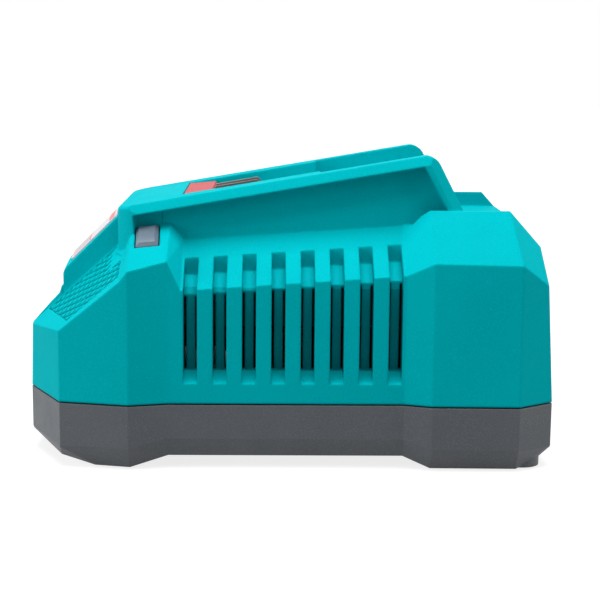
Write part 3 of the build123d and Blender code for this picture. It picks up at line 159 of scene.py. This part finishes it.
class Recipe(Graph):
    """A material, with the coordinates of the object's own frame."""

    def __init__(self, name):
        self.material = bpy.data.materials.new(name)
        self.material.use_nodes = True
        super().__init__(self.material.node_tree)
        self.shader = self.nodes["Principled BSDF"]
        self.place = self.nodes.new("ShaderNodeTexCoord").outputs["Object"]

    def set(self, **values):
        """Constants, straight on the shader's own sockets."""
        for name, value in values.items():
            self.shader.inputs[name.replace("_", " ")].default_value = value

    def noise(self, scale, detail=4.0):
        """Uneven values from 0 to 1, with scale waves in a metre."""
        node = self.nodes.new("ShaderNodeTexNoise")
        node.inputs["Scale"].default_value = scale
        node.inputs["Detail"].default_value = detail
        node.inputs["Roughness"].default_value = NOISE_ROUGHNESS
        self.join(self.place, node.inputs["Vector"])
        return node.outputs["Fac"]

    def waves(self, scale, direction="X"):
        """Even bands across a direction."""
        node = self.nodes.new("ShaderNodeTexWave")
        node.bands_direction = direction
        node.inputs["Scale"].default_value = scale
        self.join(self.place, node.inputs["Vector"])
        return node.outputs["Fac"]

    def along(self, direction):
        """Distance of a point from the origin, measured along a direction."""
        node = self.nodes.new("ShaderNodeVectorMath")
        node.operation = "DOT_PRODUCT"
        node.inputs[1].default_value = direction
        self.join(self.place, node.inputs[0])
        return node.outputs["Value"]

    def reach(self):
        """Distance of a point from the origin."""
        node = self.nodes.new("ShaderNodeVectorMath")
        node.operation = "LENGTH"
        self.join(self.place, node.inputs[0])
        return node.outputs["Value"]

    def band(self, value, low, high):
        """1 between two limits and 0 outside them."""
        rise = self.stretch(value, low - BAND_SOFTNESS, low + BAND_SOFTNESS)
        fall = self.stretch(value, high - BAND_SOFTNESS, high + BAND_SOFTNESS, 1.0, 0.0)
        return self.both(rise, fall)

    def colours(self, factor, first, second):
        """Two colours, or colour outputs, mixed by a factor."""
        node = self.nodes.new("ShaderNodeMix")
        node.data_type = "RGBA"
        self.join(factor, node.inputs["Factor"])
        for socket, colour in (("A", first), ("B", second)):
            target = [s for s in node.inputs if s.name == socket and s.type == "RGBA"][0]
            if isinstance(colour, tuple):
                target.default_value = colour
            else:
                self.join(colour, target)
        return [s for s in node.outputs if s.type == "RGBA"][0]

    def paint(self, factor, first, second):
        self.join(self.colours(factor, first, second), self.shader.inputs["Base Color"])

    def uneven_gloss(self, scale, smoothest, roughest):
        """Roughness that varies over the surface."""
        rubbed = self.stretch(
            self.noise(scale, 6.0), NOISE_LOW, NOISE_HIGH, smoothest, roughest
        )
        self.join(rubbed, self.shader.inputs["Roughness"])

    def bump(self, height, distance, strength, edge=0.0):
        """Relief in metres, over softened edges of a given radius."""
        node = self.nodes.new("ShaderNodeBump")
        node.inputs["Distance"].default_value = distance
        node.inputs["Strength"].default_value = strength
        self.join(height, node.inputs["Height"])
        if edge:
            soft = self.nodes.new("ShaderNodeBevel")
            soft.samples = EDGE_SAMPLES
            soft.inputs["Radius"].default_value = edge
            self.join(soft.outputs["Normal"], node.inputs["Normal"])
        self.join(node.outputs["Normal"], self.shader.inputs["Normal"])


# ------------------------------------------------------------------------ moulded plastic
PLASTIC_IOR = 1.46
FLOW_SCALE = 28.0
FLOW_LOW = 0.35
FLOW_HIGH = 0.65
SPECK_SCALE = 2600.0
SPECK_LOW = 0.5
SPECK_HIGH = 0.7
RUB_SCALE = 90.0
RUB_SMOOTHER = 0.05
RUB_ROUGHER = 0.07
GRAIN_SCALE = 1500.0
GRAIN_DEPTH = 0.05 * MM
GRAIN_STRENGTH = 0.6
EDGE_RADIUS = 0.7 * MM

# Painted shade: the side vents, between their sloping ends, are painted darker the more closed
# in they are, by ambient occlusion
SLOT_REACH = 6.0 * MM
SLOT_SAMPLES = 8
SLOT_CLOSED = 0.2
SLOT_OPEN = 0.6
SLOT_LOW = 31.5 * MM
SLOT_HIGH = 58.0 * MM


def painted_slot_shade(recipe):
    """Mask of painted shade: 1 deep in a vent slot, 0 on open faces and on the slots' sloping
    ends.
    """
    node = recipe.nodes.new("ShaderNodeAmbientOcclusion")
    node.samples = SLOT_SAMPLES
    node.inputs["Distance"].default_value = SLOT_REACH
    closed = recipe.stretch(node.outputs["AO"], SLOT_CLOSED, SLOT_OPEN, 1.0, 0.0)
    height = recipe.along(Vector((0.0, 0.0, 1.0)))
    return recipe.both(closed, recipe.band(height, SLOT_LOW, SLOT_HIGH))


def moulded(
    name,
    colour,
    deep,
    roughness,
    edge=EDGE_RADIUS,
    grain=GRAIN_DEPTH,
    level=0.4,
    sheen=WHITE,
    speck=None,
    slot=None,
):
    """Fine-grained moulded plastic, with flow marks, specks, rubbed grain and painted shade
    deep in the vent slots.
    """
    recipe = Recipe(name)
    flow = recipe.stretch(recipe.noise(FLOW_SCALE), FLOW_LOW, FLOW_HIGH)
    body = recipe.colours(flow, colour, deep)
    if speck:
        grains = recipe.stretch(recipe.noise(SPECK_SCALE, 1.0), SPECK_LOW, SPECK_HIGH)
        body = recipe.colours(grains, body, speck)
    # Painted shade: where a slot colour is given, the vent slots' deep faces are painted with
    # it by the occlusion mask
    if slot:
        recipe.paint(painted_slot_shade(recipe), body, slot)
    else:
        recipe.join(body, recipe.shader.inputs["Base Color"])
    recipe.uneven_gloss(RUB_SCALE, roughness - RUB_SMOOTHER, roughness + RUB_ROUGHER)
    recipe.bump(recipe.noise(GRAIN_SCALE, 2.0), grain, GRAIN_STRENGTH, edge)
    recipe.set(IOR=PLASTIC_IOR, Specular_IOR_Level=level, Specular_Tint=sheen)
    return recipe.material


# ------------------------------------------------------------------------ other materials
FAINT_RELIEF = 0.01 * MM
FAINT_STRENGTH = 0.4
FAINTER_STRENGTH = 0.3
THIN_EDGE = 0.25 * MM

POLISH_SCALE = 60.0
POLISH_RANGE = 0.15
SCRATCH_SCALE = 700.0
METAL_EDGE = 0.15 * MM


def metal(name, colour, deep, roughness, scale=SCRATCH_SCALE):
    """Plain metal with small scratches and an uneven polish."""
    recipe = Recipe(name)
    polish = recipe.stretch(recipe.noise(POLISH_SCALE), NOISE_LOW, NOISE_HIGH)
    recipe.paint(polish, colour, deep)
    recipe.uneven_gloss(scale, roughness, roughness + POLISH_RANGE)
    recipe.bump(recipe.noise(scale), FAINT_RELIEF, FAINT_STRENGTH, METAL_EDGE)
    recipe.set(Metallic=1.0)
    return recipe.material


LENS_CLOUD_SCALE = 160.0
LENS_GRAIN_SCALE = 900.0


def lens_material():
    """Milky grey-lilac window that scatters a little light."""
    recipe = Recipe("status_window")
    recipe.paint(recipe.noise(LENS_CLOUD_SCALE), LENS, LENS_PALE)
    recipe.bump(recipe.noise(LENS_GRAIN_SCALE), FAINT_RELIEF, FAINTER_STRENGTH, THIN_EDGE)
    recipe.set(Roughness=0.24, Transmission_Weight=0.25, IOR=1.49, Coat_Weight=0.2)
    return recipe.material


# The label plate lies on the nose's slope. Its fields are shares of its length from the top
LABEL_SLOPE = 0.9875
LABEL_CENTRE = 4.47 * MM
LABEL_LENGTH = 21.5 * MM
LABEL_HALF = 19.0 * MM
LABEL_MARGIN = 0.9 * MM
LABEL_BROAD = (0.05, 0.17)
LABEL_RULE = (0.57, 0.60)
LABEL_LOWER = (0.60, 0.955)
LABEL_WEAR_SCALE = 120.0
LABEL_SMOOTHEST = 0.28
LABEL_ROUGHEST = 0.4


def label_material():
    """Satin label: a pale field over a shaded one, a broad band and a thin rule."""
    recipe = Recipe("label_plate")
    up_slope = recipe.along(Vector((1.0, 0.0, LABEL_SLOPE)).normalized())
    across = recipe.along(Vector((0.0, 1.0, 0.0)))
    inside = recipe.band(across, LABEL_MARGIN - LABEL_HALF, LABEL_HALF - LABEL_MARGIN)
    top = LABEL_CENTRE + LABEL_LENGTH / 2
    lower, rule, broad = [
        recipe.band(up_slope, top - far * LABEL_LENGTH, top - near * LABEL_LENGTH)
        for near, far in (LABEL_LOWER, LABEL_RULE, LABEL_BROAD)
    ]
    field = recipe.colours(recipe.both(lower, inside), LABEL, LABEL_SHADE)
    red = recipe.both(recipe.both(rule, broad, "ADD"), inside)
    recipe.paint(red, field, LABEL_BAND)
    recipe.uneven_gloss(LABEL_WEAR_SCALE, LABEL_SMOOTHEST, LABEL_ROUGHEST)
    recipe.bump(recipe.noise(GRAIN_SCALE, 2.0), FAINT_RELIEF, FAINT_STRENGTH, THIN_EDGE)
    recipe.set(IOR=PLASTIC_IOR, Specular_IOR_Level=0.4)
    return recipe.material


WEAVE_SCALE = 900.0


def board_material():
    """Green solder mask over glass weave."""
    recipe = Recipe("circuit_board")
    weave = recipe.waves(WEAVE_SCALE)
    recipe.paint(weave, MASK, MASK_PALE)
    recipe.bump(weave, FAINT_RELIEF, FAINTER_STRENGTH)
    recipe.set(Roughness=0.35)
    return recipe.material


WIRE_SCALE = 320.0
WIRE_DEPTH = 0.2 * MM
WIRE_STRENGTH = 0.8


def wound(name, colour, deep):
    """Wound wire or tape: close rings with a lacquered surface."""
    recipe = Recipe(name)
    rings = recipe.waves(WIRE_SCALE, "Z")
    recipe.paint(rings, deep, colour)
    recipe.bump(rings, WIRE_DEPTH, WIRE_STRENGTH)
    recipe.set(Roughness=0.3, Coat_Weight=0.3)
    return recipe.material


# Each slot's material name, sRGB colour, darker shade and, but for windings, roughness
PLASTICS = {
    "led_clear": ("led_epoxy", (225, 230, 220), (205, 215, 205), 0.15),
    "bush_rubber": ("bush_rubber", (36, 36, 37), (28, 28, 29), 0.75),
    "foot_rubber": ("foot_rubber", (42, 42, 43), (33, 33, 34), 0.8),
    "core_ferrite": ("ferrite", (52, 52, 55), (40, 40, 43), 0.55),
    "package_black": ("black_epoxy", (30, 30, 31), (22, 22, 23), 0.5),
    "capacitor_sleeve": ("sleeve", (30, 38, 74), (24, 30, 62), 0.25),
    "film_capacitor": ("film_box", (206, 172, 50), (190, 156, 42), 0.3),
    "connector_nylon": ("nylon", (226, 222, 208), (212, 208, 194), 0.4),
    "lead_red": ("red_insulation", (178, 34, 30), (160, 26, 24), 0.35),
    "lead_black": ("black_insulation", (30, 30, 30), (22, 22, 22), 0.35),
}
METALS = {
    "screw_steel": ("zinc_steel", (170, 170, 172), (140, 140, 144), 0.28),
    "sink_aluminium": ("aluminium", (200, 202, 204), (182, 184, 187), 0.35),
    "fuse_metal": ("fuse_caps", (205, 204, 200), (186, 184, 180), 0.15),
}
WINDINGS = {
    "winding_tape": ("yellow_tape", (214, 184, 60), (176, 146, 40)),
    "winding_copper": ("enamelled_wire", (186, 104, 52), (118, 60, 28)),
}


def make_materials():
    """The material of each slot of the record."""
    found = {
        "housing_teal": moulded(
            "teal_plastic",
            TEAL,
            TEAL_DEEP,
            0.7,
            edge=1.0 * MM,
            level=0.06,
            sheen=TEAL_SHEEN,
            speck=TEAL_SPECK,
            # Painted shade for the deep faces of the vent slots
            slot=TEAL_PAINTED_SHADE,
        ),
        "housing_grey": moulded(
            "grey_plastic", GREY, GREY_DEEP, 0.5, grain=0.16 * MM, level=0.65, speck=GREY_SPECK
        ),
        "terminal_red": moulded(
            "red_plastic", RED, RED_DEEP, 0.6, edge=0.3 * MM, level=0.1, sheen=RED_SHEEN
        ),
        "contact_metal": metal(
            "nickel_plate", linear(150, 147, 142), linear(112, 109, 105), 0.3, 240.0
        ),
        "badge_white": label_material(),
        "lens_grey": lens_material(),
        "board_green": board_material(),
    }
    for make, table in ((moulded, PLASTICS), (metal, METALS), (wound, WINDINGS)):
        for slot, (name, colour, deep, *rest) in table.items():
            found[slot] = make(name, linear(*colour), linear(*deep), *rest)
    return found


MATERIALS = make_materials()


def dress_nodes():
    """Each CAD node takes the material of its slot."""
    for row in frame["record"]["subparts"]:
        materials = frame["nodes"][row["node"]].data.materials
        materials.clear()
        materials.append(MATERIALS[row["material_slot"]])


# ---------------------------------------------------------------------------- new pieces
def add_prism(shape, low, high):
    """A closed prism between two rings of as many points."""
    low = [shape.verts.new(point) for point in low]
    high = [shape.verts.new(point) for point in high]
    shape.faces.new(reversed(low))
    shape.faces.new(high)
    count = len(low)
    for k in range(count):
        after = (k + 1) % count
        shape.faces.new((low[k], low[after], high[after], high[k]))


def make_piece(name, shape, slot):
    """An object from a bmesh that rides on the body and has a slot's material."""
    bmesh.ops.recalc_face_normals(shape, faces=shape.faces)
    mesh = bpy.data.meshes.new(name)
    shape.to_mesh(mesh)
    shape.free()
    mesh.materials.append(MATERIALS[slot])
    piece = bpy.data.objects.new(name, mesh)
    bpy.context.scene.collection.objects.link(piece)
    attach(piece, BODY)


# The beds of the two grip panels hold rows of small flat-topped diamonds
PANEL_X = -52.9 * MM
PANEL_Z = 71.8 * MM
PANEL_HALF = 21.3 * MM
PANEL_SLOPE = 0.916
PANEL_FALL = 0.39
BED_DEPTH = 0.45 * MM
BED_OUTLINE = [
    Vector((-78.9, 21.9)) * MM,
    Vector((-53.5, 21.9)) * MM,
    Vector((-53.5, 44.5)) * MM,
    Vector((-70.15, 42.55)) * MM,
]
DOCK_CORNER = Vector((-56.1, 32.0)) * MM
BED_MARGIN = 0.12 * MM
DIAMOND_HALF = Vector((1.7, 1.5)) * MM
DIAMOND_FOOT = 0.94
DIAMOND_TOP = 0.34
DIAMOND_HEIGHT = 0.34 * MM
DIAMOND_ROOT = 0.04 * MM


def bed_z(x, y):
    """Height of a grip panel's bed."""
    rise = PANEL_SLOPE * (x - PANEL_X) - PANEL_FALL * (abs(y) - PANEL_HALF)
    return PANEL_Z + rise - BED_DEPTH


def diamond_ring(x, y, share, height):
    """The four corners of a diamond, at a share of its size and a height over the bed."""
    ring = []
    for turn_x, turn_y in ((1, 0), (0, 1), (-1, 0), (0, -1)):
        corner_x = x + share * turn_x * DIAMOND_HALF.x
        corner_y = y + share * turn_y * DIAMOND_HALF.y
        ring.append((corner_x, corner_y, bed_z(corner_x, corner_y) + height))
    return ring


def trim(shape, outline):
    """Cuts a bmesh back to an outline, seen from above, and closes the cuts."""
    for start, end in zip(outline, outline[1:] + outline[:1]):
        run = (end - start).normalized()
        outward = Vector((run.y, -run.x, 0))
        bmesh.ops.bisect_plane(
            shape,
            geom=shape.verts[:] + shape.edges[:] + shape.faces[:],
            plane_co=start.to_3d() - outward * BED_MARGIN,
            plane_no=outward,
            clear_outer=True,
        )
        bmesh.ops.edgeloop_fill(shape, edges=[e for e in shape.edges if e.is_boundary])


def make_grip(name, side):
    """The diamonds of one bed, trimmed to its outline."""
    shape = bmesh.new()
    low = [min(p[k] for p in BED_OUTLINE) for k in range(2)]
    high = [max(p[k] for p in BED_OUTLINE) for k in range(2)]
    columns = int((high[0] - low[0]) / DIAMOND_HALF.x) + 2
    rows = int((high[1] - low[1]) / DIAMOND_HALF.y) + 2
    for i in range(columns):
        for j in range(rows):
            x = low[0] + i * DIAMOND_HALF.x
            y = low[1] + j * DIAMOND_HALF.y
            over_corner = x + DIAMOND_HALF.x > DOCK_CORNER.x
            beside_dock = over_corner and y - DIAMOND_HALF.y < DOCK_CORNER.y
            if (i + j) % 2 == 0 and not beside_dock:
                add_prism(
                    shape,
                    diamond_ring(x, y, DIAMOND_FOOT, -DIAMOND_ROOT),
                    diamond_ring(x, y, DIAMOND_TOP, DIAMOND_HEIGHT),
                )
    trim(shape, BED_OUTLINE)
    if side < 0:
        bmesh.ops.scale(shape, vec=(1, -1, 1), verts=shape.verts)
    make_piece(name, shape, "housing_teal")


WITNESS_X = -40.8 * MM
WITNESS_Y = 27.0 * MM
WITNESS_LOW = 75.6 * MM
WITNESS_HIGH = 81.6 * MM
WITNESS_HALF = 0.16 * MM
WITNESS_PROUD = 0.09 * MM


def make_witness(name, side):
    """Fine upright ridge that the mould's slide leaves on the dock's side wall."""
    shape = bmesh.new()
    foot_y = side * (WITNESS_Y - WITNESS_PROUD)
    crest_y = side * (WITNESS_Y + WITNESS_PROUD)
    low, high = [
        [
            (WITNESS_X - WITNESS_HALF, foot_y, z),
            (WITNESS_X, crest_y, z),
            (WITNESS_X + WITNESS_HALF, foot_y, z),
        ]
        for z in (WITNESS_LOW, WITNESS_HIGH)
    ]
    add_prism(shape, low, high)
    make_piece(name, shape, "housing_teal")


# --------------------------------------------------------------------------------- stage
WORLD_LIGHT = 0.16
FLOOR_SIZE = 6.0
FLOOR_COLOUR = (0.32, 0.32, 0.32, 1.0)
FLOOR_ROUGHNESS = 0.9

# The floor's own white rises from the object outwards, so that it has no edge to the world
GLOW_NEAR = 0.8
GLOW_FAR = 1.0
GLOW_START = 0.3
GLOW_END = 0.9

LAMP_TARGET = Vector((0.0, 0.0, 0.05))
LAMPS = {
    "top_lamp": {"place": (0.0, -0.14, 0.85), "size": 0.6, "power": 8.4},
    "left_lamp": {"place": (-0.9, -0.28, 0.3), "size": 0.5, "power": 5.4},
    "right_lamp": {"place": (0.9, -0.25, 0.35), "size": 0.5, "power": 2.6},
}


def make_world():
    """Surroundings that look white and give little light."""
    world = bpy.data.worlds.new("studio")
    world.use_nodes = True
    graph = Graph(world.node_tree)
    background = graph.nodes["Background"]
    background.inputs["Color"].default_value = WHITE
    strength = graph.stretch(graph.seen_directly(), 0.0, 1.0, WORLD_LIGHT, 1.0)
    graph.join(strength, background.inputs["Strength"])
    bpy.context.scene.world = world


def floor_material():
    """White floor that keeps a faint shadow and lights the object like a grey one."""
    recipe = Recipe("white_floor")
    recipe.set(Base_Color=FLOOR_COLOUR, Roughness=FLOOR_ROUGHNESS, Specular_IOR_Level=0.0)
    level = recipe.stretch(recipe.reach(), GLOW_START, GLOW_END, GLOW_NEAR, GLOW_FAR)
    glow = recipe.nodes.new("ShaderNodeEmission")
    glow.inputs["Color"].default_value = WHITE
    recipe.join(recipe.both(recipe.seen_directly(), level), glow.inputs["Strength"])
    total = recipe.nodes.new("ShaderNodeAddShader")
    recipe.join(recipe.shader.outputs[0], total.inputs[0])
    recipe.join(glow.outputs[0], total.inputs[1])
    recipe.join(total.outputs[0], recipe.nodes["Material Output"].inputs["Surface"])
    return recipe.material


def make_floor():
    """One large square at the height on which the feet stand."""
    bpy.ops.mesh.primitive_plane_add(size=FLOOR_SIZE, location=(0, 0, 0))
    floor = bpy.context.object
    floor.name = "floor"
    floor.data.materials.append(floor_material())


def make_lamp(name, place, size, power):
    """A soft square lamp that looks at the object."""
    data = bpy.data.lights.new(name, "AREA")
    data.size = size
    data.energy = power
    lamp = bpy.data.objects.new(name, data)
    bpy.context.scene.collection.objects.link(lamp)
    lamp.location = place
    direction = LAMP_TARGET - Vector(place)
    lamp.rotation_euler = direction.to_track_quat("-Z", "Y").to_euler()


# --------------------------------------------------------------------------------- scene
bpy.context.scene.view_settings.view_transform = "Standard"
make_camera()
make_world()
make_floor()
for lamp_name, settings in LAMPS.items():
    make_lamp(lamp_name, **settings)
dress_nodes()
for make, name in ((make_grip, "grip_relief"), (make_witness, "witness_line")):
    make(f"{name}_left", 1)
    make(f"{name}_right", -1)
